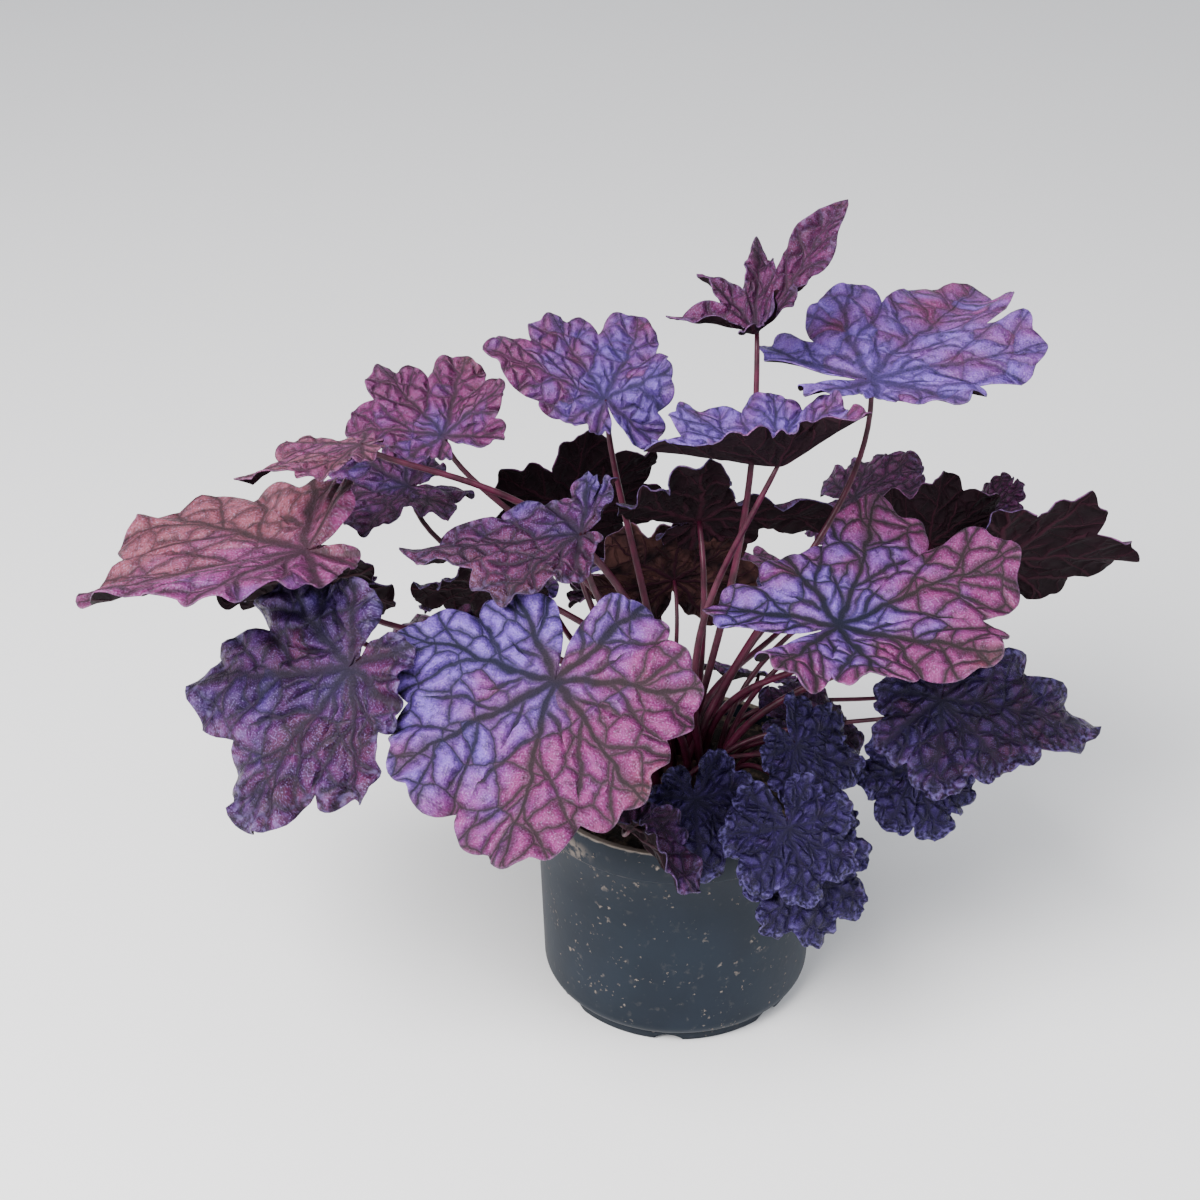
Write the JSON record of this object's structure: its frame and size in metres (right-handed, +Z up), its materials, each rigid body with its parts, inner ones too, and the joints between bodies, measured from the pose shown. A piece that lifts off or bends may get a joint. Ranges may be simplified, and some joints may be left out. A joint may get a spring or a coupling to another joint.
{
  "type": "potted heuchera plant",
  "caption": "Heuchera with lobed, waved, dark-veined purple leaves on thin stalks, growing in a round tapered nursery pot filled with soil.",
  "frame": {"origin": "middle of the pot's underside, on the ground", "axes": "+Z up; the side with the largest leaf faces -Y"},
  "size_m": [0.4364, 0.2938, 0.347],
  "materials": {
    "pot": "scuffed, dusty dark slate",
    "soil": "coarse dark potting soil",
    "crown": "rough woody rootstock",
    "leaf": "purple leaf with dark veins"
  },
  "bodies": {
    "root": {"crown": "crown", "leaf_back_left": "leaf", "leaf_back_right": "leaf", "leaf_back_tip": "leaf", "leaf_back_top": "leaf", "leaf_far_right": "leaf", "leaf_front": "leaf", "leaf_high_right": "leaf", "leaf_left": "leaf", "leaf_left_lobe": "leaf", "leaf_left_under": "leaf", "leaf_low_curl": "leaf", "leaf_low_fold": "leaf", "leaf_low_inner": "leaf", "leaf_low_left": "leaf", "leaf_low_mid": "leaf", "leaf_low_outer": "leaf", "leaf_low_right": "leaf", "leaf_low_rim": "leaf", "leaf_low_small": "leaf", "leaf_mid_back": "leaf", "leaf_mid_left": "leaf", "leaf_mid_top": "leaf", "leaf_rear_far_left": "leaf", "leaf_rear_far_right": "leaf", "leaf_rear_inner": "leaf", "leaf_rear_left": "leaf", "leaf_rear_low_left": "leaf", "leaf_rear_low_right": "leaf", "leaf_rear_mid": "leaf", "leaf_rear_right": "leaf", "leaf_right": "leaf", "leaf_top": "leaf", "leaf_umbrella": "leaf", "leaf_under_left": "leaf", "leaf_under_right": "leaf", "leaf_upper": "leaf", "leaf_upper_left": "leaf", "pot": "pot", "soil": "soil"}
  },
  "joints": []
}
